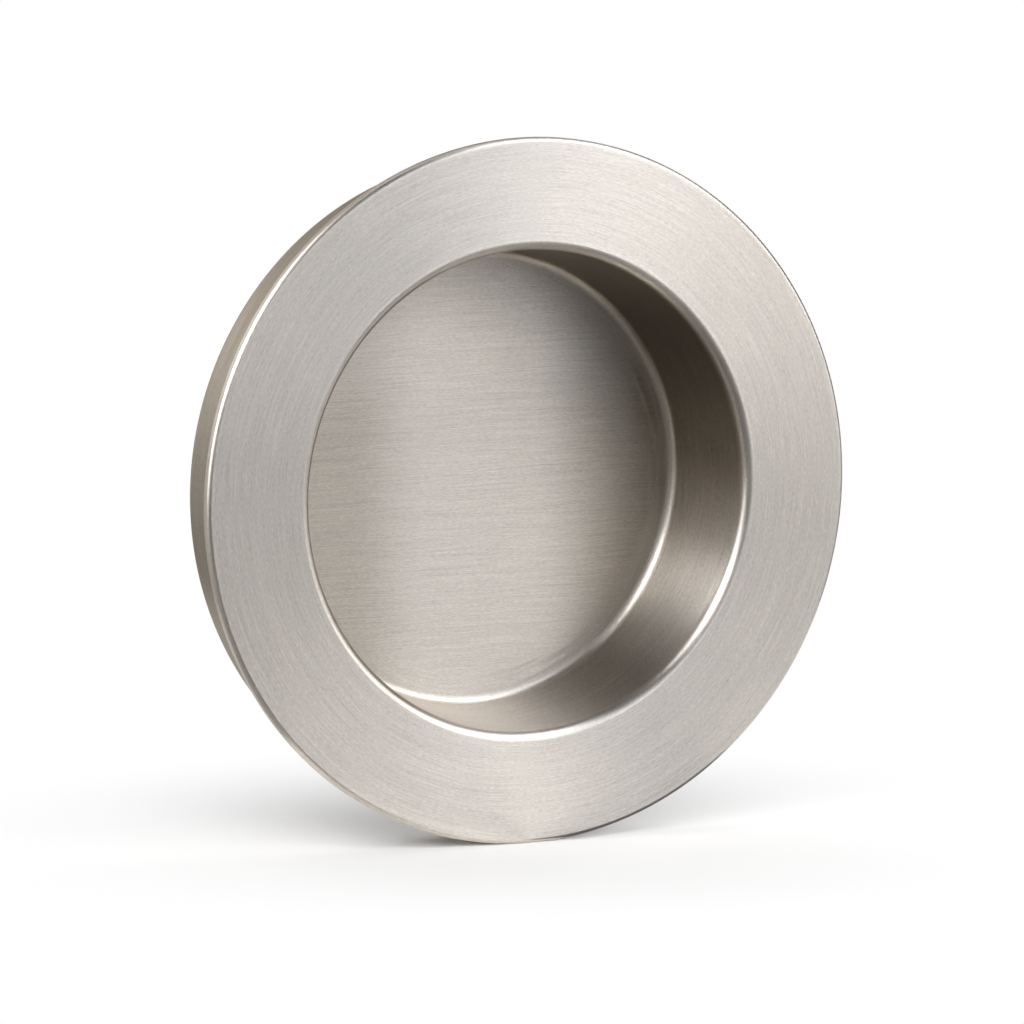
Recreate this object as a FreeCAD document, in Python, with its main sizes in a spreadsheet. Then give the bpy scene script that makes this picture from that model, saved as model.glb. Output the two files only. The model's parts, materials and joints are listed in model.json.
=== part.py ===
# Round recessed pull handle for a door or drawer: a flange ring that covers the edge of the hole, a
# drum that fits the hole, and a cup for the fingertips. It is cast and turned as one piece.
#
# Frame: +Z up and the face towards -Y, as the handle sits in an upright door. Its axis is the Y
# axis, and the origin is on that axis in the plane of the flange's back, which rests on the door.

import FreeCAD, Part
import os

import Sketcher

NODE = "pull_body"

# Driving dimensions in millimetres, and degrees for the draft: alias, value, what it measures.
SIZES = (
    ("flange_dia", 65.0, "outer diameter of the flange"),
    ("flange_thick", 1.1, "face to the back of the flange"),
    ("flange_front_round", 0.4, "rounding of the flange's front edge"),
    ("flange_back_break", 0.2, "chamfer that breaks the flange's back edge"),
    ("mouth_dia", 44.5, "diameter at which the recess wall would meet the face"),
    ("mouth_round", 0.9, "rounding of the mouth of the recess"),
    ("recess_depth", 12.5, "face to the floor of the recess"),
    ("wall_draft", 5.0, "draft of the recess wall"),
    ("floor_fillet", 0.95, "fillet between the wall and the floor of the recess"),
    ("drum_dia", 60.0, "outer diameter of the drum"),
    ("drum_depth", 9.8, "face to the back edge of the drum"),
    ("drum_lead", 0.5, "lead-in chamfer on the back edge of the drum"),
    ("drum_wall", 1.8, "wall of the drum"),
    ("ring_thick", 2.0, "face to the bottom of the channel between drum and cup"),
    ("channel_corner", 0.7, "sloped corners at the bottom of the channel, where it is wide enough"),
    ("cup_wall", 1.8, "wall of the cup, square to its surface"),
    ("floor_thick", 1.8, "floor of the cup"),
    ("cup_back_break", 1.0, "chamfer on the back edge of the cup"),
)

# Sizes that the sheet works out from those above: alias, formula, what it measures.
DERIVED_SIZES = (
    (
        "channel_width",
        "=drum_dia / 2 - drum_wall - mouth_dia / 2 - cup_wall",
        "width left between the cup and the drum",
    ),
    (
        "channel_corner_cut",
        "=min(channel_corner; channel_width / 4)",
        "sloped corners as cut, which leave half of the channel's bottom flat",
    ),
)

# Lines of the half section in order, from the mouth round to the mouth again. In the sketch the
# first coordinate runs along the axis and the second is the radius.
LINES = (
    "wall",
    "floor",
    "axis",
    "cup_back",
    "cup_side",
    "channel_bottom",
    "drum_inside",
    "drum_back",
    "drum_outside",
    "flange_back",
    "flange_rim",
    "face",
)
LINE = {name: index for index, name in enumerate(LINES)}
START = 1
END = 2
ORIGIN = (-1, 1)
AXIS_LINE = -1
SEAT_LINE = -2

CHANNEL_CORNERS = [("channel_bottom", START), ("channel_bottom", END)]

# Edges finished after turning: feature, kind, its size in the sheet, corners of the half section.
EDGES = (
    ("FloorFillet", "Fillet", "floor_fillet", [("wall", END)]),
    ("MouthRound", "Fillet", "mouth_round", [("wall", START)]),
    ("FlangeFrontRound", "Fillet", "flange_front_round", [("face", START)]),
    ("FlangeBackBreak", "Chamfer", "flange_back_break", [("flange_rim", START)]),
    ("DrumLead", "Chamfer", "drum_lead", [("drum_outside", START)]),
    ("ChannelCorners", "Chamfer", "channel_corner_cut", CHANNEL_CORNERS),
    ("CupBackBreak", "Chamfer", "cup_back_break", [("cup_side", START)]),
)
SIZE_PROPERTY = {"Fillet": "Radius", "Chamfer": "Size"}


def add_sheet(doc):
    """Put the sizes in a spreadsheet, one named cell each."""
    sheet = doc.addObject("Spreadsheet::Sheet", "Sizes")
    for row, (alias, value, meaning) in enumerate(SIZES + DERIVED_SIZES, start=1):
        sheet.set("A%d" % row, alias)
        sheet.set("B%d" % row, str(value))
        sheet.set("C%d" % row, meaning)
        sheet.setAlias("B%d" % row, alias)
    doc.recompute()
    return sheet


def first_corners(sheet):
    """Corners of the half section as first drawn, with straight walls. The sizes then set them."""
    face = -sheet.flange_thick
    floor = face + sheet.recess_depth
    cup_back = floor + sheet.floor_thick
    channel = face + sheet.ring_thick
    drum_back = face + sheet.drum_depth
    mouth = sheet.mouth_dia / 2
    cup = mouth + sheet.cup_wall
    drum = sheet.drum_dia / 2
    drum_inside = drum - sheet.drum_wall
    flange = sheet.flange_dia / 2
    return (
        (face, mouth),
        (floor, mouth),
        (floor, 0.0),
        (cup_back, 0.0),
        (cup_back, cup),
        (channel, cup),
        (channel, drum_inside),
        (drum_back, drum_inside),
        (drum_back, drum),
        (0.0, drum),
        (0.0, flange),
        (face, flange),
    )


def draw_outline(sketch, corners):
    """Draw the closed outline through the corners and join its lines end to end."""
    count = len(corners)
    for index in range(count):
        start = FreeCAD.Vector(*corners[index], 0)
        end = FreeCAD.Vector(*corners[(index + 1) % count], 0)
        sketch.addGeometry(Part.LineSegment(start, end), False)
    for index in range(count):
        following = (index + 1) % count
        sketch.addConstraint(Sketcher.Constraint("Coincident", index, END, following, START))


def set_directions(sketch):
    """Square up the lines, lay the axis on the sketch's axis and keep the cup's sides parallel."""
    for name in ("floor", "cup_back", "channel_bottom", "drum_back", "flange_back", "face"):
        sketch.addConstraint(Sketcher.Constraint("Vertical", LINE[name]))
    for name in ("drum_inside", "drum_outside", "flange_rim"):
        sketch.addConstraint(Sketcher.Constraint("Horizontal", LINE[name]))
    for end in (START, END):
        sketch.addConstraint(Sketcher.Constraint("PointOnObject", LINE["axis"], end, AXIS_LINE))
    seat = (LINE["flange_back"], START)
    sketch.addConstraint(Sketcher.Constraint("PointOnObject", *seat, SEAT_LINE))
    sketch.addConstraint(Sketcher.Constraint("Parallel", LINE["wall"], LINE["cup_side"]))


def set_size(sketch, name, formula, kind, *places):
    """Add one driving constraint and bind it to the sheet."""
    value = sketch.evalExpression(formula)
    sketch.addConstraint(Sketcher.Constraint(kind, *places, FreeCAD.Units.Quantity(value)))
    sketch.renameConstraint(sketch.ConstraintCount - 1, name)
    sketch.setExpression("Constraints." + name, formula)


def set_sizes(sketch):
    """Dimension the half section from the sheet."""
    mouth = (LINE["wall"], START)
    floor = (LINE["wall"], END)
    cup_back = (LINE["cup_back"], START)
    channel = (LINE["channel_bottom"], START)
    drum_inside = (LINE["drum_inside"], START)
    drum_back = (LINE["drum_back"], END)
    rim = (LINE["flange_rim"], END)
    set_size(sketch, "flange_radius", "Sizes.flange_dia / 2", "DistanceY", *ORIGIN, *rim)
    set_size(sketch, "flange_thick", "Sizes.flange_thick", "DistanceX", *rim, *ORIGIN)
    set_size(sketch, "mouth_radius", "Sizes.mouth_dia / 2", "DistanceY", *ORIGIN, *mouth)
    set_size(sketch, "recess_depth", "Sizes.recess_depth", "DistanceX", *mouth, *floor)
    set_size(sketch, "floor_thick", "Sizes.floor_thick", "DistanceX", *floor, *cup_back)
    set_size(sketch, "ring_thick", "Sizes.ring_thick", "DistanceX", *rim, *channel)
    set_size(sketch, "drum_radius", "Sizes.drum_dia / 2", "DistanceY", *ORIGIN, *drum_back)
    set_size(sketch, "drum_depth", "Sizes.drum_depth", "DistanceX", *rim, *drum_back)
    set_size(sketch, "drum_wall", "Sizes.drum_wall", "DistanceY", *drum_inside, *drum_back)
    set_size(sketch, "cup_wall", "Sizes.cup_wall", "Distance", *channel, LINE["wall"])
    set_size(sketch, "wall_draft", "-Sizes.wall_draft * 1 deg", "Angle", LINE["wall"])


def add_half_section(body):
    """Sketch the half section on the plane that holds the axis."""
    sketch = body.newObject("Sketcher::SketchObject", "HalfSection")
    planes = {feature.Role: feature for feature in body.Origin.OriginFeatures}
    sketch.AttachmentSupport = [(planes["YZ_Plane"], "")]
    sketch.MapMode = "FlatFace"
    draw_outline(sketch, first_corners(body.Document.Sizes))
    set_directions(sketch)
    set_sizes(sketch)
    body.Document.recompute()
    return sketch


def circle_at(shape, line, end, sketch):
    """Name the circular edge that a corner of the half section has swept."""
    segment = sketch.Geometry[LINE[line]]
    corner = segment.StartPoint if end == START else segment.EndPoint
    for number, edge in enumerate(shape.Edges, start=1):
        if not isinstance(edge.Curve, Part.Circle):
            continue
        along = abs(edge.Curve.Center.y - corner.x)
        across = abs(edge.Curve.Radius - corner.y)
        if max(along, across) < 0.001:
            return "Edge%d" % number
    raise RuntimeError("no circular edge at the end of " + line)


def dress(body, name, kind, alias, sketch, corners):
    """Round or chamfer the circular edges at some corners of the half section."""
    base = body.Tip
    edges = [circle_at(base.Shape, line, end, sketch) for line, end in corners]
    feature = body.newObject("PartDesign::" + kind, name)
    feature.Base = (base, edges)
    feature.setExpression(SIZE_PROPERTY[kind], "Sizes." + alias)
    body.Document.recompute()


def add_pull_body(doc):
    """Revolve the half section, then finish its edges one after another."""
    body = doc.addObject("PartDesign::Body", "PullBody")
    body.Label = NODE
    body.Placement = FreeCAD.Placement()
    sketch = add_half_section(body)
    turned = body.newObject("PartDesign::Revolution", "Turned")
    turned.Profile = sketch
    turned.ReferenceAxis = (sketch, ["H_Axis"])
    turned.Angle = 360
    doc.recompute()
    for name, kind, alias, corners in EDGES:
        dress(body, name, kind, alias, sketch, corners)
    return body


def check(doc, sketch):
    """Stop on a loose sketch, a failed feature or a bad solid, before anything is written."""
    doc.recompute()
    if not sketch.FullyConstrained:
        raise RuntimeError("the half section has loose sizes")
    for item in doc.Objects:
        if "Invalid" in item.State or "Error" in item.State:
            raise RuntimeError("%s failed: %s" % (item.Name, item.State))
    for item in doc.Objects:
        if not item.isDerivedFrom("PartDesign::Body"):
            continue
        if item.Shape.isNull() or not item.Shape.isValid() or len(item.Shape.Solids) != 1:
            raise RuntimeError(item.Label + " isn't one valid solid")


def main():
    doc = FreeCAD.newDocument("RecessedPull")
    add_sheet(doc)
    body = add_pull_body(doc)
    check(doc, doc.HalfSection)
    os.makedirs("parts", exist_ok=True)
    body.Shape.exportStep("parts/%s.step" % NODE)
    box = body.Shape.optimalBoundingBox(False)
    lengths = [round(length, 3) for length in (box.XLength, box.YLength, box.ZLength)]
    print(NODE, round(body.Shape.Volume, 1), "mm3 in a box of", lengths, "mm")


main()
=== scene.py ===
"""Recessed pull handle in brushed metal, dressed for a product photograph.

The handle is turned from one half section, so its mesh is swept round the handle's own axis, and
its brushed finish follows the same sweep. The stage is a white floor, softboxes and grey cards.
"""

import json
import math

import bmesh
import bpy
from bpy.props import FloatProperty, FloatVectorProperty, IntProperty, PointerProperty
from bpy.types import Operator, Panel, PropertyGroup
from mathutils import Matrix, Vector


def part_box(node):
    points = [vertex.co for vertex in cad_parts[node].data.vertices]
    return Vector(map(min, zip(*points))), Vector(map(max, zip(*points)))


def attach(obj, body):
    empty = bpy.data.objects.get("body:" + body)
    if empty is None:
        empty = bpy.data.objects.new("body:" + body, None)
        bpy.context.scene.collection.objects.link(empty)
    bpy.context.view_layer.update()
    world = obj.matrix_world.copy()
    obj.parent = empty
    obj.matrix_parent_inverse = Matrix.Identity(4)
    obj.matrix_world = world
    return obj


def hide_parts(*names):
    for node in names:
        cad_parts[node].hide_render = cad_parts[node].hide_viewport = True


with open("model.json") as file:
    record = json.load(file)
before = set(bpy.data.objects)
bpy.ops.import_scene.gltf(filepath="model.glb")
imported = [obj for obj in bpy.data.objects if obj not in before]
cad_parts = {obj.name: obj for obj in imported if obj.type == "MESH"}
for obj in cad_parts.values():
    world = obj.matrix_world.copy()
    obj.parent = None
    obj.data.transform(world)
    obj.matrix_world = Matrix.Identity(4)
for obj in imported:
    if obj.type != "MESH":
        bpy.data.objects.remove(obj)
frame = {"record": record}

bl_info = {
    "name": "Recessed Pull Handle",
    "version": (1, 0, 0),
    "blender": (4, 5, 0),
    "location": "View3D > Sidebar > Recessed Pull",
    "description": "A round recessed pull handle in brushed metal, with its stage",
    "category": "Object",
}

NODE = "pull_body"
BODY = "root"
MILLIMETRE = 0.001
CAD_LOW, CAD_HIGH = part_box(NODE)
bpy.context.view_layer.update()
MOUNTS = {mount["name"]: mount for mount in frame["record"]["mounts"]}
DRUM_RADIUS = MOUNTS["drum"]["dims"]["r_mm"] * MILLIMETRE
FACE_CENTRE = Vector((0.0, CAD_LOW.y, 0.0))

# Roundings up to this one get a third of the steps. Edge wear fades out over the strip beside one.
SMALL_ROUND = 0.0003
WEAR_MARGIN = 0.0003

# The round brush marks have their stated length at this radius.
ROUND_RADIUS = 0.027

# How often per metre the brush marks wander and the rubbing of the edges changes.
WANDER_SCALE = 160.0
RUB_SCALE = 420.0

# How raggedly the straight marks end, and the slice of the noise that they are cut from.
RAGGED_END = 0.35
STRAIGHT_SLICE = 7.3

# Scratches: their size against the fine marks and the streaks, and the noise that makes one.
SCRATCH_WIDTH = 1.3
SCRATCH_LENGTH = 0.7
SCRATCH_START = 0.66
SCRATCH_FULL = 0.76

# Rubbed edges: the noise between which they change, and how worn they are at the least.
RUB_START = 0.3
RUB_FULL = 0.7
RUB_LEAST = 0.45

# How far the soft clouds are drawn out, and how much the streaks and scratches add to the relief.
CLOUD_SWIRL = 0.6
STREAK_RELIEF = 0.6
SCRATCH_RELIEF = 0.5

# A quarter turn, which makes the gloss spread across the brushing.
GLOSS_TURN = 0.25

# Tone, painted shade included, at which the metal has all of its dim tint.
DIMMEST = 0.4

# Places of the floor's edge, the mouth and the drum's back edge among the half section's corners.
FLOOR_CORNER = 1
MOUTH_CORNER = 2
DRUM_CORNER = 8

# How softly the parts of the surface meet: a share of the recess floor's radius, then lengths.
WALL_BLEND = 0.97
FACE_BLEND = 0.0006
DRUM_BLEND = 0.0002
BACK_BLEND = 0.0004

# Shares of the recess floor's radius between which the painted highlight on its fillet rises, and
# where that ends.
FILLET_START = 0.965
FILLET_FULL = 0.985
FILLET_END = 1.03

# Sideways places on the recess floor: middle of its lighter band, and where the painted shade of
# its sides starts and ends.
BAND_MIDDLE = 0.001
BAND_START = 0.005
BAND_END = 0.0135

# Heights between which painted light brightens the recess floor and painted shade darkens the
# recess wall.
TOP_START = 0.004
TOP_END = 0.016
UPPER_START = -0.014
UPPER_END = 0.018

# Sideways places between which painted shade darkens the mouth's left lip. Along the surface, it
# fades in ahead of the wall's end and out again between two places past it.
LIP_START = -0.006
LIP_END = -0.014
LIP_FADE_IN = 0.0003
LIP_INNER = 0.00065
LIP_OUTER = 0.00095

# Tints of the lamps, of the cards round the handle and of the cards on the floor.
WHITE = (1.0, 1.0, 1.0)
LAMP_COLOUR = (0.975, 1.0, 1.045)
COOL_COLOUR = (0.94, 1.0, 1.12)
CARD_COLOUR = (1.0, 0.92, 0.82)
FLOOR_CARD_COLOUR = (1.0, 0.99, 0.98)

# Distances from the middle of the face, the cards' height above the floor, and the degrees that
# one facet of a card takes.
SOFTBOX_DISTANCE = 0.40
FLOOR_LAMP_DISTANCE = 1.0
DOME_DISTANCE = 0.55
CARD_LIFT = 0.0003
CARD_FACET = 10

# Softboxes: name, turns and rises in degrees, level and tint.
SOFTBOXES = (
    ("Front Low", (0, 15), (-5, 22), 0.5, COOL_COLOUR),
    ("Right Inner Low", (15, 30), (-5, 8), 2.3, COOL_COLOUR),
    ("Right Inner", (15, 30), (8, 42), 1.3, COOL_COLOUR),
    ("Right Middle", (30, 45), (-5, 42), 2.9, LAMP_COLOUR),
    ("Right Outer", (45, 60), (-5, 42), 2.5, LAMP_COLOUR),
    ("Right Upper", (30, 60), (22, 42), 1.6, COOL_COLOUR),
    ("Right Top", (30, 60), (42, 65), 4.0, COOL_COLOUR),
    ("Left Softbox", (-120, -60), (-3, 65), 2.5, LAMP_COLOUR),
    ("Left Core", (-90, -60), (22, 42), 10.5, LAMP_COLOUR),
    ("Left Inner", (-60, -45), (22, 42), 3.6, LAMP_COLOUR),
)

# Lamps that light only the floor: name, turns and rises in degrees, and level.
FLOOR_LAMPS = (
    ("Floor Front Lamp", (-30, 0), (1, 20), 22),
    ("Floor Right Lamp", (85, 120), (5, 35), 5),
    ("Floor Front Right Lamp", (30, 60), (1, 20), 13),
    ("Floor High Lamp", (-60, 0), (20, 45), 6.5),
    ("Floor Back Lamp", (130, 230), (30, 60), 1.6),
)

# Cards round the handle: name, turns and rises in degrees, and level.
DOME_CARDS = (
    ("dark_dome", (-120, 122), (-5, 65), 0.04),
    ("dark_top", (-90, 90), (65, 90), 0.0),
    ("dark_back", (137, 168), (-5, 45), 0.02),
    ("grey_back", (168, 200), (-5, 45), 0.45),
    ("grey_left", (-160, -120), (-5, 65), 0.25),
)

# Cards on the floor: name, turns in degrees, reaches from the axis in metres, and level.
FLOOR_CARDS = (
    ("near_front_floor", (-60, 0), (0.0, 0.03), 0.03),
    ("near_right_floor", (0, 60), (0.0, 0.03), 0.68),
    ("near_side_floor", (60, 120), (0.0, 0.03), 0.1),
    ("middle_right_floor", (0, 60), (0.03, 0.08), 0.26),
    ("far_left_floor", (-120, -60), (0.03, 0.6), 0.4),
    ("middle_front_floor", (-60, 0), (0.03, 0.08), 0.12),
    ("far_front_floor", (-60, 60), (0.08, 0.6), 0.17),
    ("far_right_floor", (75, 120), (0.09, 0.6), 0.03),
    ("back_left_floor", (-180, -120), (0.08, 0.6), 0.45),
)

# How shader nodes are laid out: how many in a row, and the room that each one takes.
NODES_IN_ROW = 12
NODE_WIDTH = 190
NODE_HEIGHT = 260


def length(name, description, default):
    """One length of the handle, in metres."""
    return FloatProperty(
        name=name, description=description, default=default, min=0.0, precision=5,
        unit="LENGTH", subtype="DISTANCE",
    )


def share(name, description, default):
    """One plain number from 0 to 1, with no unit."""
    return FloatProperty(name=name, description=description, default=default, min=0.0, max=1.0)


def colour(name, description, default):
    """One linear colour."""
    return FloatVectorProperty(
        name=name, description=description, default=default, size=3, min=0.0, max=1.0,
        subtype="COLOR",
    )


class PullSizes(PropertyGroup):
    """Sizes of the handle's half section."""

    flange_radius: length("Flange Radius", "Outer radius of the flange", CAD_HIGH.x)
    flange_thick: length("Flange Thickness", "Face to the flange's back", -CAD_LOW.y)
    flange_round: length("Flange Round", "Rounding of the flange's front edge", 0.0004)
    flange_break: length("Flange Break", "Chamfer on the flange's back edge", 0.0002)
    mouth_radius: length("Mouth Radius", "Where the recess wall would meet the face", 0.02225)
    mouth_round: length("Mouth Round", "Rounding of the mouth", 0.0009)
    recess_depth: length("Recess Depth", "Face to the floor of the recess", 0.0125)
    wall_draft: FloatProperty(
        name="Wall Draft", description="Draft of the recess wall",
        default=math.radians(5.0), min=0.0, unit="ROTATION", subtype="ANGLE",
    )
    floor_fillet: length("Floor Fillet", "Fillet between the wall and the floor", 0.00095)
    floor_thick: length("Floor Thickness", "Floor of the cup", 0.0018)
    drum_radius: length("Drum Radius", "Outer radius of the drum", DRUM_RADIUS)
    drum_depth: length("Drum Depth", "Face to the drum's back edge", 0.0098)
    drum_lead: length("Drum Lead", "Lead-in chamfer on the drum's back edge", 0.0005)
    drum_wall: length("Drum Wall", "Wall of the drum", 0.0018)
    ring_thick: length("Ring Thickness", "Face to the bottom of the channel", 0.002)
    channel_corner: length("Channel Corner", "Sloped corners of the channel's bottom", 0.0007)
    cup_wall: length("Cup Wall", "Wall of the cup", 0.0018)
    cup_break: length("Cup Break", "Chamfer on the cup's back edge", 0.001)
    soft_edge: length("Soft Edge", "Small rounding of every other corner", 0.00008)
    sweep_steps: IntProperty(
        name="Sweep Steps", description="Steps round the axis", default=384, min=48, max=720,
    )
    arc_steps: IntProperty(
        name="Arc Steps", description="Steps along a quarter turn of a rounding", default=14, min=3,
        max=32,
    )


class PullFinish(PropertyGroup):
    """Colour, gloss and brushing of the metal, and light and shade painted into its colour."""

    metal: colour("Metal", "Colour of the brushed metal", (0.570, 0.520, 0.457))
    # The dim tint also colours the painted shade, where the metal is darkest.
    dim_tint: colour("Dim Tint", "Tint of the metal where it is darkest", (1.0, 0.94, 0.84))
    face_roughness: share("Face Roughness", "Roughness of the face and the drum", 0.42)
    floor_roughness: share("Floor Roughness", "Roughness of the recess floor", 0.56)
    wall_roughness: share("Wall Roughness", "Roughness of the recess wall", 0.36)
    anisotropy: share("Anisotropy", "How far the gloss spreads across the brushing", 0.65)
    wall_anisotropy: share("Wall Anisotropy", "The same spread on the recess wall", 0.9)
    wall_grain: FloatProperty(
        name="Wall Grain", description="How many times wider the marks on the recess wall are",
        default=2.2, min=0.5, max=6.0,
    )
    drum_tone: share("Drum Tone", "How much darker the side of the drum is", 0.38)
    # Painted shade: the recess floor is painted darker beside its middle.
    floor_side_painted_shade: share("Floor Side Painted Shade", "How much darker the recess floor is beside its middle", 0.26)
    # Painted light: the top of the recess floor is painted lighter.
    floor_top_painted_light: share("Floor Top Painted Light", "How much lighter the recess floor's top is", 0.20)
    # Painted light: the face is painted lighter, and lighter at its bottom than at its top.
    face_painted_light: share("Face Painted Light", "How much lighter the face is than the rest", 0.04)
    face_bottom_painted_light: share("Face Bottom Painted Light", "How much lighter the face's bottom is than its top", 0.14)
    # Painted shade: the recess wall is painted darker, and darker still in its upper half.
    wall_painted_shade: share("Wall Painted Shade", "How much darker the recess wall is", 0.08)
    wall_upper_painted_shade: share("Wall Upper Painted Shade", "How much darker its upper half is besides", 0.62)
    # Painted shade: the left lip of the mouth is painted darker.
    lip_painted_shade: share("Lip Painted Shade", "How much darker the left lip of the mouth is", 0.55)
    # Painted highlight: the fillet of the recess is painted lighter.
    fillet_painted_highlight: share("Fillet Painted Highlight", "How much lighter the fillet of the recess is", 0.30)
    grain_width: length("Grain Width", "Width of the finest brush marks", 0.000056)
    grain_length: length("Grain Length", "Length of the long fine brush marks", 0.0055)
    nick_length: length("Nick Length", "Length of the short fine brush marks", 0.00037)
    streak_width: length("Streak Width", "Width of the broader streaks", 0.00035)
    streak_length: length("Streak Length", "Length of the broader streaks", 0.010)
    cloud_size: length("Cloud Size", "Size of the soft tonal clouds", 0.012)
    grain_tone: share("Grain Tone", "How strongly the long fine marks vary the colour", 0.45)
    nick_tone: share("Nick Tone", "How strongly the short fine marks vary the colour", 0.40)
    streak_tone: share("Streak Tone", "How strongly the broad streaks vary the colour", 0.12)
    grain_height: length("Grain Height", "Height of the brush marks", 0.0000012)
    wander: length("Grain Wander", "How far the brush marks wander sideways", 0.0004)
    straight_reach: share("Straight Reach", "Part of the recess floor brushed straight", 0.9)
    cloud_tone: share("Cloud Tone", "How strongly the clouds vary the colour", 0.06)
    scratch_tone: share("Scratch Tone", "How dark the scattered scratches are", 0.06)
    gloss_change: share("Gloss Change", "How strongly the streaks vary the gloss", 0.10)
    edge_tone: share("Edge Tone", "How much lighter the rubbed edges are", 0.06)
    edge_polish: share("Edge Polish", "How much smoother the rubbed edges are", 0.06)
    back_tone: share("Back Tone", "How much darker the hidden back is", 0.12)
    back_dull: share("Back Dullness", "How much rougher the hidden back is", 0.08)


class StageSettings(PropertyGroup):
    """Floor, light and camera."""

    floor_radius: length("Floor Radius", "Radius of the floor", 0.9)
    fade_start: length("Fade Start", "Where the floor starts to turn plain white", 0.015)
    fade_end: length("Fade End", "Where the floor is plain white", 0.062)
    floor_tone: share("Floor Tone", "Whiteness of the floor", 0.8)
    world_level: share("World Level", "Light from all round on matt surfaces", 0.12)
    lamp_level: FloatProperty(
        name="Lamp Level", description="Brightness of every softbox seen in the metal",
        default=1.23, min=0.0, max=10.0,
    )
    lens: FloatProperty(
        name="Lens", description="Focal length of the camera", default=370.5, min=10.0,
        unit="CAMERA",
    )
    camera_turn: FloatProperty(
        name="Camera Turn", description="Camera's turn to the right of straight ahead",
        default=math.radians(-26.6), unit="ROTATION", subtype="ANGLE",
    )
    camera_rise: FloatProperty(
        name="Camera Rise", description="Camera's height above straight ahead",
        default=math.radians(7.1), unit="ROTATION", subtype="ANGLE",
    )
    camera_distance: length("Camera Distance", "Camera to the middle of the face", 0.9636)
    face_right: length("Face Right", "Face's middle, right of the frame's middle", 0.0017)
    face_up: length("Face Up", "Face's middle, above the frame's middle", 0.00183)


def corner(y, radius, rounding):
    """A corner of the half section: place along the axis, radius and rounding."""
    return Vector((y, radius)), rounding


def half_section(sizes):
    """Corners of the half section, from the middle of the recess floor to that of the back."""
    face = -sizes.flange_thick
    floor = face + sizes.recess_depth
    drum_back = face + sizes.drum_depth
    ring = face + sizes.ring_thick
    cup_back = floor + sizes.floor_thick
    slope = math.tan(sizes.wall_draft)
    drum_inside = sizes.drum_radius - sizes.drum_wall
    edge = sizes.soft_edge
    sloped = sizes.channel_corner

    def cup_side(y):
        return sizes.mouth_radius + sizes.cup_wall / math.cos(sizes.wall_draft) - (y - face) * slope

    return [
        corner(floor, 0.0, 0.0),
        corner(floor, sizes.mouth_radius - sizes.recess_depth * slope, sizes.floor_fillet),
        corner(face, sizes.mouth_radius, sizes.mouth_round),
        corner(face, sizes.flange_radius, sizes.flange_round),
        corner(-sizes.flange_break, sizes.flange_radius, edge),
        corner(0.0, sizes.flange_radius - sizes.flange_break, edge),
        corner(0.0, sizes.drum_radius, edge),
        corner(drum_back - sizes.drum_lead, sizes.drum_radius, edge),
        corner(drum_back, sizes.drum_radius - sizes.drum_lead, edge),
        corner(drum_back, drum_inside, edge),
        corner(ring + sloped, drum_inside, edge),
        corner(ring, drum_inside - sloped, edge),
        corner(ring, cup_side(ring) + sloped, edge),
        corner(ring + sloped, cup_side(ring + sloped), edge),
        corner(cup_back - sizes.cup_break, cup_side(cup_back - sizes.cup_break), edge),
        corner(cup_back, cup_side(cup_back) - sizes.cup_break, edge),
        corner(cup_back, 0.0, 0.0),
    ]


def unit_normal(direction):
    """The side of a profile line that faces out of the metal."""
    return Vector((-direction.y, direction.x)).normalized()


def rounded_section(corners, quarter_steps):
    """Points of the half section with its corners rounded: place, outward normal and edge wear."""
    points = []
    first, last = corners[0][0], corners[-1][0]
    points.append((first, unit_normal(corners[1][0] - first), 0.0))
    for index in range(1, len(corners) - 1):
        before = corners[index - 1][0]
        here, rounding = corners[index]
        after = corners[index + 1][0]
        inward = (before - here).normalized()
        onward = (after - here).normalized()
        opening = inward.angle(onward)
        turn = math.pi - opening
        setback = rounding * math.tan(turn / 2)
        centre = here + (inward + onward).normalized() * (rounding / math.sin(opening / 2))
        start_normal = unit_normal(-inward)
        end_normal = unit_normal(onward)
        start_arm = here + inward * setback - centre
        signed_turn = math.atan2(start_normal.cross(end_normal), start_normal.dot(end_normal))
        detail = quarter_steps if rounding > SMALL_ROUND else quarter_steps / 3
        steps = max(2, round(detail * turn / (math.pi / 2)))
        wear = 1.0 if signed_turn < 0.0 else 0.0
        if (before - here).length > setback + 2 * WEAR_MARGIN:
            points.append((here + inward * (setback + WEAR_MARGIN), start_normal, 0.0))
        for step in range(steps + 1):
            angle = signed_turn * step / steps
            cosine, sine = math.cos(angle), math.sin(angle)
            arm = Vector((start_arm.x * cosine - start_arm.y * sine,
                          start_arm.x * sine + start_arm.y * cosine))
            normal = Vector((start_normal.x * cosine - start_normal.y * sine,
                             start_normal.x * sine + start_normal.y * cosine))
            points.append((centre + arm, normal, wear))
        if (after - here).length > setback + 2 * WEAR_MARGIN:
            points.append((here + onward * (setback + WEAR_MARGIN), end_normal, 0.0))
    points.append((last, unit_normal(last - corners[-2][0]), 0.0))
    return points


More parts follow.
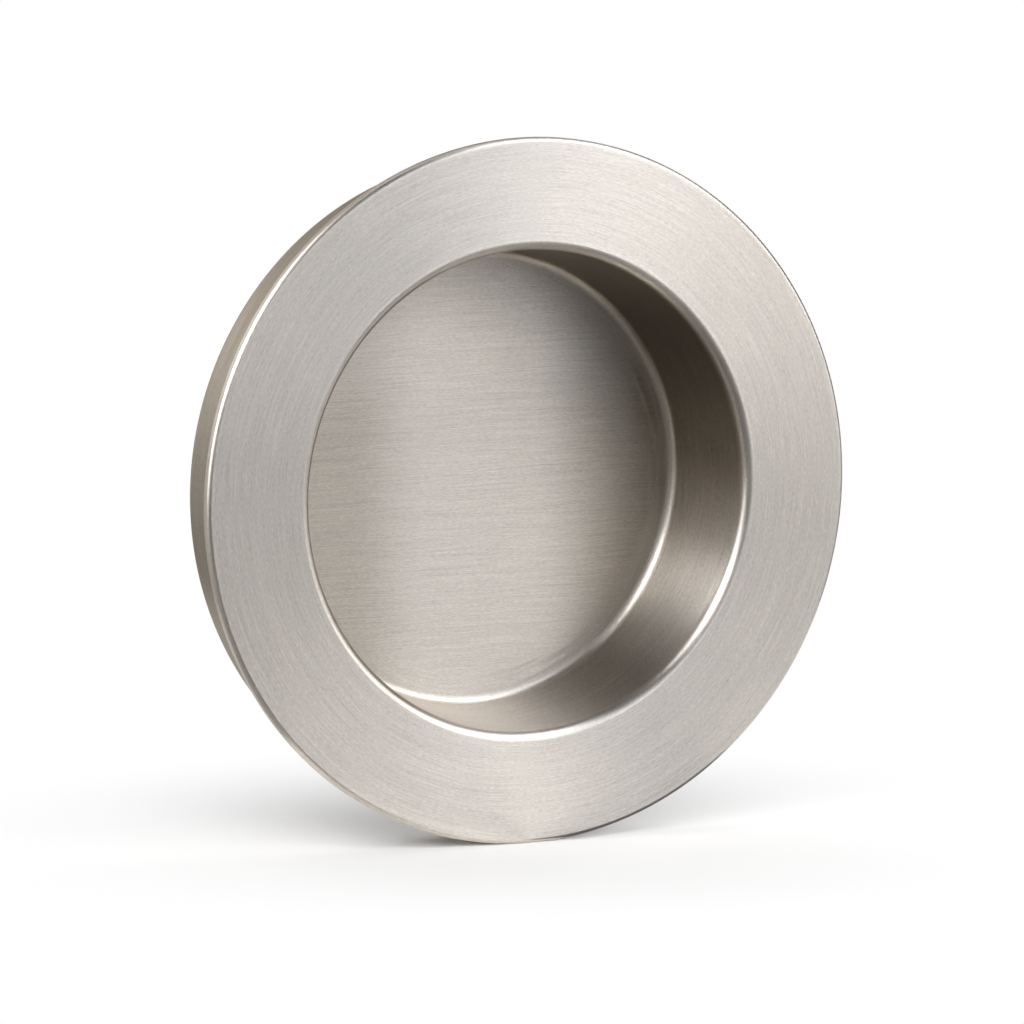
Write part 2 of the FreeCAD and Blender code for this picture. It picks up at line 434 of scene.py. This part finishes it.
def sweep(name, section, steps):
    """Sweep a half section round the handle's axis into one closed mesh with exact normals."""
    mesh = bpy.data.meshes.new(name)
    shape = bmesh.new()
    normals = []
    wears = []
    rings = []
    for place, normal, wear in section:
        count = 1 if place.y == 0.0 else steps
        ring = []
        for step in range(count):
            turn = 2 * math.pi * step / steps
            across, up = math.sin(turn), math.cos(turn)
            ring.append(shape.verts.new((place.y * across, place.x, place.y * up)))
            normals.append(Vector((normal.y * across, normal.x, normal.y * up)).normalized())
            wears.append(wear)
        rings.append(ring)
    for inner, outer in zip(rings, rings[1:]):
        for step in range(steps):
            following = (step + 1) % steps
            a, b = inner[step % len(inner)], inner[following % len(inner)]
            c, d = outer[following % len(outer)], outer[step % len(outer)]
            corners = [v for i, v in enumerate((a, b, c, d)) if v not in (a, b, c, d)[:i]]
            shape.faces.new(corners)
    shape.normal_update()
    shape.to_mesh(mesh)
    shape.free()
    for polygon in mesh.polygons:
        polygon.use_smooth = True
    mesh.normals_split_custom_set_from_vertices(normals)
    mesh.attributes.new(name="edge", type="FLOAT", domain="POINT").data.foreach_set("value", wears)
    mesh.update()
    return mesh


def mark_sweep(mesh, section, steps):
    """Lay the mesh out flat: once round across, and along the half section upward."""
    along = [0.0]
    for (place, _, _), (following, _, _) in zip(section, section[1:]):
        along.append(along[-1] + (following - place).length)
    ring_of = []
    for index, (place, _, _) in enumerate(section):
        ring_of.extend([index] * (1 if place.y == 0.0 else steps))
    layout = mesh.uv_layers.new(name="Sweep")
    for polygon in mesh.polygons:
        turns = []
        for vertex in polygon.vertices:
            spot = mesh.vertices[vertex].co
            on_axis = section[ring_of[vertex]][0].y == 0.0
            turns.append(None if on_axis else math.atan2(spot.x, spot.z) / (2 * math.pi) % 1.0)
        known = [turn for turn in turns if turn is not None]
        wraps = max(known) - min(known) > 0.5
        known = [turn + 1.0 if wraps and turn < 0.5 else turn for turn in known]
        middle = sum(known) / len(known)
        for loop, vertex, turn in zip(polygon.loop_indices, polygon.vertices, turns):
            if turn is None:
                turn = middle
            elif wraps and turn < 0.5:
                turn += 1.0
            layout.data[loop].uv = (turn, along[ring_of[vertex]] / along[-1])
    return along


class NodeBench:
    """Lays out shader nodes from left to right and joins them."""

    def __init__(self, tree):
        self.tree = tree
        self.tree.nodes.clear()
        self.place = 0

    def add(self, kind, inputs=None, **settings):
        """Add a node, set its settings, and set or join its inputs."""
        node = self.tree.nodes.new(kind)
        self.place += 1
        row, column = divmod(self.place, NODES_IN_ROW)
        node.location = (column * NODE_WIDTH, -row * NODE_HEIGHT)
        for name, value in settings.items():
            setattr(node, name, value)
        for socket, value in (inputs or {}).items():
            self.feed(node.inputs[socket], value)
        return node

    def feed(self, socket, value):
        """Join an output to a socket, or set the socket to a plain value."""
        if isinstance(value, bpy.types.NodeSocket):
            self.tree.links.new(value, socket)
        else:
            socket.default_value = value

    def math(self, operation, *values):
        """One sum, product or other operation on numbers."""
        inputs = dict(enumerate(values))
        return self.add("ShaderNodeMath", inputs, operation=operation).outputs["Value"]

    def vector(self, operation, *values):
        """One operation on vectors."""
        inputs = dict(enumerate(values))
        node = self.add("ShaderNodeVectorMath", inputs, operation=operation)
        return node.outputs["Value" if operation == "LENGTH" else "Vector"]

    def blend(self, factor, low, high):
        """A number that goes from low to high as the factor goes from 0 to 1."""
        inputs = {"Factor": factor, "A": low, "B": high}
        return self.add("ShaderNodeMix", inputs, data_type="FLOAT").outputs["Result"]

    def blend_vectors(self, factor, low, high):
        """A vector that goes from low to high as the factor goes from 0 to 1.

        A Mix node has a set of sockets for each kind of value, and those for vectors go by number.
        """
        inputs = {0: factor, 4: low, 5: high}
        return self.add("ShaderNodeMix", inputs, data_type="VECTOR").outputs[1]

    def swing(self, pattern, strength):
        """A pattern from 0 to 1 as a change to both sides of zero."""
        return self.math("MULTIPLY", self.math("SUBTRACT", pattern, 0.5), strength)

    def ramp(self, value, start, end, low=0.0, high=1.0):
        """A smooth step from low to high as the value goes from start to end."""
        inputs = {"Value": value, "From Min": start, "From Max": end, "To Min": low, "To Max": high}
        node = self.add("ShaderNodeMapRange", inputs, interpolation_type="SMOOTHSTEP")
        return node.outputs["Result"]

    def noise(self, vector, detail=2.0, distortion=0.0):
        """Soft random variation from 0 to 1."""
        inputs = {"Vector": vector, "Scale": 1.0, "Detail": detail, "Distortion": distortion}
        return self.add("ShaderNodeTexNoise", inputs).outputs["Fac"]

    def combine(self, x, y, z):
        """A vector from three numbers."""
        return self.add("ShaderNodeCombineXYZ", {"X": x, "Y": y, "Z": z}).outputs["Vector"]


def grain_places(bench, finish, floor_radius, total, coarse):
    """Places measured along and across the brushing, which is straight on the recess floor."""
    spot = bench.add("ShaderNodeTexCoord").outputs["Object"]
    layout = bench.add("ShaderNodeUVMap", uv_map="Sweep").outputs["UV"]
    parts = bench.add("ShaderNodeSeparateXYZ", {"Vector": spot}).outputs
    along = bench.math(
        "MULTIPLY", bench.add("ShaderNodeSeparateXYZ", {"Vector": layout}).outputs["Y"], total)
    flat = bench.vector("MULTIPLY", spot, (1.0, 0.0, 1.0))
    spoke = bench.add(
        "ShaderNodeSeparateXYZ", {"Vector": bench.vector("NORMALIZE", flat)}).outputs
    wander = bench.noise(bench.vector("MULTIPLY", spot, (WANDER_SCALE,) * 3), detail=1.0)
    wander = bench.swing(wander, finish.wander)

    def round_place(across, lengthwise):
        across *= coarse
        turns = ROUND_RADIUS / lengthwise
        return bench.combine(
            bench.math("MULTIPLY", spoke["X"], turns),
            bench.math("MULTIPLY", spoke["Z"], turns),
            bench.math("DIVIDE", bench.math("ADD", along, wander), across),
        )

    def straight_place(across, lengthwise):
        return bench.combine(
            bench.math("DIVIDE", parts["X"], lengthwise),
            bench.math("DIVIDE", bench.math("ADD", parts["Z"], wander), across),
            STRAIGHT_SLICE,
        )

    ragged = bench.noise(round_place(finish.streak_width, finish.streak_length))
    ragged = bench.swing(ragged, RAGGED_END)
    reach = bench.math("ADD", bench.math("DIVIDE", along, floor_radius), ragged)
    turned = bench.math("GREATER_THAN", reach, finish.straight_reach)

    def place(across, lengthwise):
        straight = straight_place(across, lengthwise)
        return bench.blend_vectors(turned, straight, round_place(across, lengthwise))

    return spot, along, turned, place


def brush_direction(bench, turned):
    """Direction of the brushing: round the axis, and level on the recess floor."""
    ring = bench.add("ShaderNodeTangent", direction_type="RADIAL", axis="Y").outputs["Tangent"]
    level = bench.add(
        "ShaderNodeVectorTransform", {"Vector": (1.0, 0.0, 0.0)}, vector_type="VECTOR",
        convert_from="OBJECT", convert_to="WORLD",
    ).outputs["Vector"]
    return bench.blend_vectors(turned, level, ring)


def zones(bench, reach, floor_radius, marks):
    """Parts of the surface, each a number that is 1 on the part and 0 off it."""
    wall_end, drum_start, back_start = marks
    on_wall = bench.ramp(reach, floor_radius * WALL_BLEND, floor_radius)
    on_face = bench.ramp(reach, wall_end - FACE_BLEND, wall_end + FACE_BLEND)
    beside = bench.ramp(reach, drum_start - DRUM_BLEND, drum_start)
    behind = bench.ramp(reach, back_start - BACK_BLEND, back_start + BACK_BLEND)
    return {
        "beyond_floor": on_wall,
        "beyond_wall": on_face,
        "floor": bench.math("SUBTRACT", 1.0, on_wall),
        "wall": bench.math("MULTIPLY", on_wall, bench.math("SUBTRACT", 1.0, on_face)),
        "face": bench.math("MULTIPLY", on_face, bench.math("SUBTRACT", 1.0, beside)),
        "drum": bench.math("MULTIPLY", beside, bench.math("SUBTRACT", 1.0, behind)),
        "back": behind,
    }


def grain_tone(bench, finish, patterns, scratch, worn):
    """How much the brush marks, scratches and rubbed edges lighten or darken the metal."""
    tone = 1.0
    for pattern, strength in patterns:
        tone = bench.math("ADD", tone, bench.swing(pattern, strength))
    tone = bench.math("SUBTRACT", tone, bench.math("MULTIPLY", scratch, finish.scratch_tone))
    return bench.math("ADD", tone, bench.math("MULTIPLY", worn, finish.edge_tone))


def finish_and_painted_light(bench, finish, spot, reach, zone, floor_radius, wall_end):
    """Each part's tone: the drum's and back's own, and light and shade painted on the rest."""
    sides = bench.add("ShaderNodeSeparateXYZ", {"Vector": spot}).outputs
    # Painted shade on the recess wall, deeper towards its top.
    upper = bench.ramp(
        sides["Z"], UPPER_START, UPPER_END, -finish.wall_painted_shade,
        -finish.wall_painted_shade - finish.wall_upper_painted_shade)
    # Painted shade beside the middle of the recess floor.
    sideways = bench.math("ABSOLUTE", bench.math("SUBTRACT", sides["X"], BAND_MIDDLE))
    band = bench.ramp(sideways, BAND_START, BAND_END, 0.0, -finish.floor_side_painted_shade)
    # Painted light on the top of the recess floor.
    top = bench.ramp(sides["Z"], TOP_START, TOP_END, 0.0, finish.floor_top_painted_light)
    # Painted light on the face, lighter towards its bottom.
    fall = bench.ramp(
        sides["Z"], CAD_LOW.z, CAD_HIGH.z, finish.face_painted_light + finish.face_bottom_painted_light / 2,
        finish.face_painted_light - finish.face_bottom_painted_light / 2)
    # Painted highlight on the recess fillet.
    fillet = bench.math(
        "MULTIPLY", bench.ramp(reach, floor_radius * FILLET_START, floor_radius * FILLET_FULL),
        bench.ramp(reach, floor_radius, floor_radius * FILLET_END, finish.fillet_painted_highlight, 0.0))
    # Painted shade along the mouth's lip, kept to its left side by the next step.
    lip = bench.math(
        "MULTIPLY", bench.ramp(reach, wall_end - LIP_FADE_IN, wall_end),
        bench.ramp(reach, wall_end + LIP_INNER, wall_end + LIP_OUTER, 1.0, 0.0))
    left = bench.ramp(sides["X"], LIP_START, LIP_END, 0.0, -finish.lip_painted_shade)
    # The drum and the hidden back have their own darker tone; every other change here is painted
    # light or shade.
    tone = bench.math("ADD", 1.0, fillet)
    for where, change in (
        (lip, left),
        (zone["floor"], bench.math("ADD", band, top)),
        (zone["wall"], upper),
        (zone["face"], fall),
        (zone["drum"], -finish.drum_tone),
        (zone["back"], -finish.back_tone),
    ):
        tone = bench.math("ADD", tone, bench.math("MULTIPLY", where, change))
    return tone


def metal_colour(bench, finish, grain, part):
    """The metal's colour, warmer where its part tone darkens it, painted shade included."""
    dim_metal = [one * dim for one, dim in zip(finish.metal, finish.dim_tint)]
    tint = bench.blend_vectors(bench.ramp(part, 1.0, DIMMEST), tuple(finish.metal), dim_metal)
    base = bench.vector("SCALE", tint)
    bench.feed(base.node.inputs["Scale"], bench.math("MULTIPLY", grain, part))
    return base


def metal_gloss(bench, finish, zone, streak, worn):
    """The metal's roughness, which changes with its parts, streaks and rubbed edges."""
    wall = bench.blend(zone["beyond_floor"], finish.floor_roughness, finish.wall_roughness)
    gloss = bench.swing(streak, finish.gloss_change)
    gloss = bench.math("ADD", gloss, bench.blend(zone["beyond_wall"], wall, finish.face_roughness))
    gloss = bench.math("SUBTRACT", gloss, bench.math("MULTIPLY", worn, finish.edge_polish))
    return bench.math("ADD", gloss, bench.math("MULTIPLY", zone["back"], finish.back_dull))


def brushed_metal(name, finish, anisotropy, coarse, floor_radius, along, marks):
    """Brushed metal: marks round the axis, and straight ones on the recess floor."""
    material = bpy.data.materials.new(name)
    material.use_nodes = True
    bench = NodeBench(material.node_tree)
    spot, reach, turned, place = grain_places(bench, finish, floor_radius, along[-1], coarse)

    fine = bench.noise(place(finish.grain_width, finish.grain_length), detail=1.0)
    nick = bench.noise(place(finish.grain_width, finish.nick_length), detail=0.0)
    streak = bench.noise(place(finish.streak_width, finish.streak_length), detail=1.0)
    scratch_place = place(
        finish.grain_width * SCRATCH_WIDTH, finish.streak_length * SCRATCH_LENGTH)
    scratch = bench.ramp(bench.noise(scratch_place, detail=0.0), SCRATCH_START, SCRATCH_FULL)
    cloud_place = bench.vector("MULTIPLY", spot, (1.0 / finish.cloud_size,) * 3)
    cloud = bench.noise(cloud_place, detail=3.0, distortion=CLOUD_SWIRL)
    edge = bench.add("ShaderNodeAttribute", attribute_name="edge").outputs["Fac"]
    rub = bench.noise(bench.vector("MULTIPLY", spot, (RUB_SCALE,) * 3), detail=2.0)
    worn = bench.math("MULTIPLY", edge, bench.ramp(rub, RUB_START, RUB_FULL, RUB_LEAST, 1.0))

    patterns = (
        (fine, finish.grain_tone), (nick, finish.nick_tone), (streak, finish.streak_tone),
        (cloud, finish.cloud_tone),
    )
    zone = zones(bench, reach, floor_radius, marks)
    grain = grain_tone(bench, finish, patterns, scratch, worn)
    part = finish_and_painted_light(bench, finish, spot, reach, zone, floor_radius, marks[0])
    relief = bench.math("ADD", fine, bench.math("MULTIPLY", streak, STREAK_RELIEF))
    relief = bench.math("SUBTRACT", relief, bench.math("MULTIPLY", scratch, SCRATCH_RELIEF))
    height = bench.add(
        "ShaderNodeBump", {"Strength": 1.0, "Distance": finish.grain_height, "Height": relief})
    surface = bench.add(
        "ShaderNodeBsdfPrincipled",
        {
            "Base Color": metal_colour(bench, finish, grain, part),
            "Metallic": 1.0,
            "Roughness": metal_gloss(bench, finish, zone, streak, worn),
            "Anisotropic": anisotropy,
            "Anisotropic Rotation": GLOSS_TURN,
            "Tangent": brush_direction(bench, turned),
            "Normal": height.outputs["Normal"],
        },
    )
    bench.add("ShaderNodeOutputMaterial", {"Surface": surface.outputs["BSDF"]})
    return material


def first_point(section, start, fits):
    """Number of the first point of the half section, after a start, whose place fits."""
    return next(i for i in range(start, len(section)) if fits(section[i][0]))


class HANDLE_OT_pull_body(Operator):
    """Add the turned handle: flange, drum and finger recess in one brushed piece"""

    bl_idname = "handle.pull_body"
    bl_label = "Add Pull Body"
    bl_options = {"REGISTER", "UNDO"}

    def execute(self, context):
        sizes = context.scene.pull_sizes
        finish = context.scene.pull_finish
        corners = half_section(sizes)
        section = rounded_section(corners, sizes.arc_steps)
        mesh = sweep("pull_body_finish", section, sizes.sweep_steps)
        along = mark_sweep(mesh, section, sizes.sweep_steps)
        body = bpy.data.objects.new("pull_body_finish", mesh)
        context.scene.collection.objects.link(body)
        floor_radius = corners[FLOOR_CORNER][0].y
        mouth = corners[MOUTH_CORNER][0].x + sizes.mouth_round
        drum_back = corners[DRUM_CORNER][0].x - sizes.soft_edge
        wall_start = first_point(section, 0, lambda place: place.y > floor_radius)
        wall_end = first_point(section, wall_start, lambda place: place.x < mouth)
        drum_start = first_point(section, wall_end, lambda place: place.x > -sizes.soft_edge)
        back_start = first_point(section, drum_start, lambda place: place.x > drum_back)
        marks = [along[i] for i in (wall_end, drum_start, back_start)]
        for name, anisotropy, coarse in (
            ("Brushed Nickel", finish.anisotropy, 1.0),
            ("Brushed Nickel Wall", finish.wall_anisotropy, finish.wall_grain),
        ):
            metal = brushed_metal(name, finish, anisotropy, coarse, floor_radius, along, marks)
            mesh.materials.append(metal)
        wall_rows = section[wall_start][0].x, section[wall_end][0].x
        for polygon in mesh.polygons:
            middle = polygon.center
            radius = math.hypot(middle.x, middle.z)
            inside = wall_rows[1] < middle.y < wall_rows[0]
            polygon.material_index = 1 if inside and radius < sizes.mouth_radius else 0
        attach(body, BODY)
        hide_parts(NODE)
        return {"FINISHED"}


def from_face(azimuth, elevation, distance):
    """A place at that many degrees round from straight ahead, to the right, and above the face."""
    turn, rise = math.radians(azimuth), math.radians(elevation)
    level = math.cos(rise)
    ahead = Vector((math.sin(turn) * level, -math.cos(turn) * level, math.sin(rise)))
    return FACE_CENTRE + ahead * distance


def linked(name, data, place, aim):
    """Put an object in the scene at a place, turned to look at the aim."""
    item = bpy.data.objects.new(name, data)
    item.location = place
    item.rotation_mode = "QUATERNION"
    item.rotation_quaternion = (Vector(aim) - Vector(place)).to_track_quat("-Z", "Y")
    bpy.context.scene.collection.objects.link(item)
    return item


def softbox(name, turns, rises, level, tint, distance=SOFTBOX_DISTANCE):
    """A lamp between two turns and two rises in degrees, which only the gloss of the metal sees.

    At a level of 1 it looks as bright as the white background.
    """
    turn, rise = sum(turns) / 2, sum(rises) / 2
    across = math.radians(turns[1] - turns[0]) / 2
    upward = math.radians(rises[1] - rises[0]) / 2
    lamp = bpy.data.lights.new(name, "AREA")
    lamp.shape = "RECTANGLE"
    lamp.size = 2 * distance * math.tan(across) * math.cos(math.radians(rise))
    lamp.size_y = 2 * distance * math.tan(upward)
    lamp.energy = level * lamp.size * lamp.size_y * math.pi
    lamp.color = tint
    item = linked(name, lamp, from_face(turn, rise, distance), FACE_CENTRE)
    item.visible_camera = False
    item.visible_diffuse = False
    return item


def floor_lamp(name, turns, rises, level):
    """A soft lamp that lights only the floor, to shape the shadow."""
    item = softbox(name, turns, rises, level, WHITE, FLOOR_LAMP_DISTANCE)
    item.visible_diffuse = True
    item.visible_glossy = False
    return item


def card(name, spots, faces, tint, level):
    """A dark or grey card that only the gloss of the metal sees."""
    mesh = bpy.data.meshes.new(name)
    mesh.from_pydata(spots, [], faces)
    material = bpy.data.materials.new(name)
    material.use_nodes = True
    bench = NodeBench(material.node_tree)
    glow = bench.add("ShaderNodeEmission", {"Color": (*tint, 1.0), "Strength": level})
    bench.add("ShaderNodeOutputMaterial", {"Surface": glow.outputs["Emission"]})
    mesh.materials.append(material)
    item = bpy.data.objects.new(name, mesh)
    bpy.context.scene.collection.objects.link(item)
    item.visible_camera = False
    item.visible_diffuse = False
    item.visible_shadow = False
    item.visible_transmission = False
    item.visible_volume_scatter = False
    return item


def dome_card(name, turns, rises, level):
    """Part of a dome round the face, between two turns and two rises in degrees."""
    across = max(1, round((turns[1] - turns[0]) / CARD_FACET))
    upward = max(1, round((rises[1] - rises[0]) / CARD_FACET))
    spots = []
    for row in range(upward + 1):
        rise = rises[0] + (rises[1] - rises[0]) * row / upward
        for column in range(across + 1):
            turn = turns[0] + (turns[1] - turns[0]) * column / across
            spots.append(from_face(turn, rise, DOME_DISTANCE))
    width = across + 1
    faces = [
        (low, low + 1, low + width + 1, low + width)
        for row in range(upward) for low in range(row * width, row * width + across)
    ]
    return card(name, spots, faces, CARD_COLOUR, level)


def floor_card(name, turns, reaches, level):
    """A dark or grey ring sector just above the floor, between two turns and two reaches."""
    height = CAD_LOW.z + CARD_LIFT
    steps = max(2, round((turns[1] - turns[0]) / CARD_FACET))
    spots = []
    for step in range(steps + 1):
        turn = math.radians(turns[0] + (turns[1] - turns[0]) * step / steps)
        across, ahead = math.sin(turn), math.cos(turn)
        for reach in reaches:
            spots.append(Vector((across * reach, CAD_LOW.y - ahead * reach, height)))
    faces = [(2 * step, 2 * step + 1, 2 * step + 3, 2 * step + 2) for step in range(steps)]
    return card(name, spots, faces, FLOOR_CARD_COLOUR, level)


def white_world(level):
    """White behind everything, and a softer level of light from it."""
    world = bpy.data.worlds.new("White Studio")
    bpy.context.scene.world = world
    world.use_nodes = True
    bench = NodeBench(world.node_tree)
    path = bench.add("ShaderNodeLightPath").outputs
    seen = bench.math("MAXIMUM", path["Is Camera Ray"], path["Is Glossy Ray"])
    seen = bench.math("MAXIMUM", seen, path["Is Transmission Ray"])
    strength = bench.blend(seen, level, 1.0)
    glow = bench.add("ShaderNodeBackground", {"Color": (*WHITE, 1.0), "Strength": strength})
    bench.add("ShaderNodeOutputWorld", {"Surface": glow.outputs["Background"]})


def white_floor(stage):
    """A round white floor that keeps the shadow and fades into the white behind it."""
    mesh = bpy.data.meshes.new("studio_floor")
    shape = bmesh.new()
    bmesh.ops.create_circle(shape, cap_ends=True, segments=96, radius=stage.floor_radius)
    shape.to_mesh(mesh)
    shape.free()
    material = bpy.data.materials.new("White Floor")
    material.use_nodes = True
    bench = NodeBench(material.node_tree)
    spot = bench.add("ShaderNodeTexCoord").outputs["Object"]
    away = bench.vector("LENGTH", spot)
    lit = bench.add("ShaderNodeBsdfDiffuse", {"Color": (*([stage.floor_tone] * 3), 1.0)})
    far = bench.add("ShaderNodeEmission", {"Color": (*WHITE, 1.0), "Strength": 1.0})
    fade = bench.ramp(away, stage.fade_start, stage.fade_end)
    mixed = bench.add("ShaderNodeMixShader", {0: fade, 1: lit.outputs[0], 2: far.outputs[0]})
    bench.add("ShaderNodeOutputMaterial", {"Surface": mixed.outputs[0]})
    mesh.materials.append(material)
    floor = bpy.data.objects.new("studio_floor", mesh)
    floor.location = (0.0, 0.0, CAD_LOW.z)
    bpy.context.scene.collection.objects.link(floor)


def camera(stage):
    """The camera, turned a little aside so that the face sits where it does in the frame."""
    data = bpy.data.cameras.new("Camera")
    data.lens = stage.lens
    data.sensor_width = 36.0
    place = from_face(math.degrees(stage.camera_turn), math.degrees(stage.camera_rise),
                      stage.camera_distance)
    view = linked("Camera", data, place, FACE_CENTRE)
    right = view.rotation_quaternion @ Vector((1.0, 0.0, 0.0))
    up = view.rotation_quaternion @ Vector((0.0, 1.0, 0.0))
    aim = FACE_CENTRE - right * stage.face_right - up * stage.face_up
    view.rotation_quaternion = (aim - place).to_track_quat("-Z", "Y")
    data.clip_start = 0.01
    data.clip_end = 20.0
    bpy.context.scene.camera = view


class HANDLE_OT_studio(Operator):
    """Add the white floor, the lamps, the grey cards and the camera"""

    bl_idname = "handle.studio"
    bl_label = "Add Studio"
    bl_options = {"REGISTER", "UNDO"}

    def execute(self, context):
        stage = context.scene.handle_stage
        context.scene.view_settings.view_transform = "Standard"
        white_world(stage.world_level)
        white_floor(stage)
        for name, turns, rises, level, tint in SOFTBOXES:
            softbox(name, turns, rises, level * stage.lamp_level, tint)
        for name, turns, rises, level in FLOOR_LAMPS:
            floor_lamp(name, turns, rises, level)
        for name, turns, rises, level in DOME_CARDS:
            dome_card(name, turns, rises, level)
        for name, turns, reaches, level in FLOOR_CARDS:
            floor_card(name, turns, reaches, level)
        camera(stage)
        return {"FINISHED"}


class HANDLE_PT_panel(Panel):
    """Lists the handle's piece, its stage and their settings"""

    bl_idname = "HANDLE_PT_panel"
    bl_label = "Recessed Pull Handle"
    bl_space_type = "VIEW_3D"
    bl_region_type = "UI"
    bl_category = "Recessed Pull"

    def draw(self, context):
        layout = self.layout
        for operator in (HANDLE_OT_pull_body, HANDLE_OT_studio):
            layout.operator(operator.bl_idname)
        for group in (
            context.scene.pull_sizes, context.scene.pull_finish, context.scene.handle_stage,
        ):
            box = layout.box()
            for name in group.bl_rna.properties.keys():
                if name not in ("rna_type", "name"):
                    box.prop(group, name)


CLASSES = (
    PullSizes, PullFinish, StageSettings, HANDLE_OT_pull_body, HANDLE_OT_studio, HANDLE_PT_panel,
)


def register():
    for item in CLASSES:
        bpy.utils.register_class(item)
    bpy.types.Scene.pull_sizes = PointerProperty(type=PullSizes)
    bpy.types.Scene.pull_finish = PointerProperty(type=PullFinish)
    bpy.types.Scene.handle_stage = PointerProperty(type=StageSettings)


def unregister():
    del bpy.types.Scene.handle_stage
    del bpy.types.Scene.pull_finish
    del bpy.types.Scene.pull_sizes
    for item in reversed(CLASSES):
        bpy.utils.unregister_class(item)


def main():
    register()
    bpy.ops.handle.pull_body()
    bpy.ops.handle.studio()


if __name__ == "__main__":
    main()
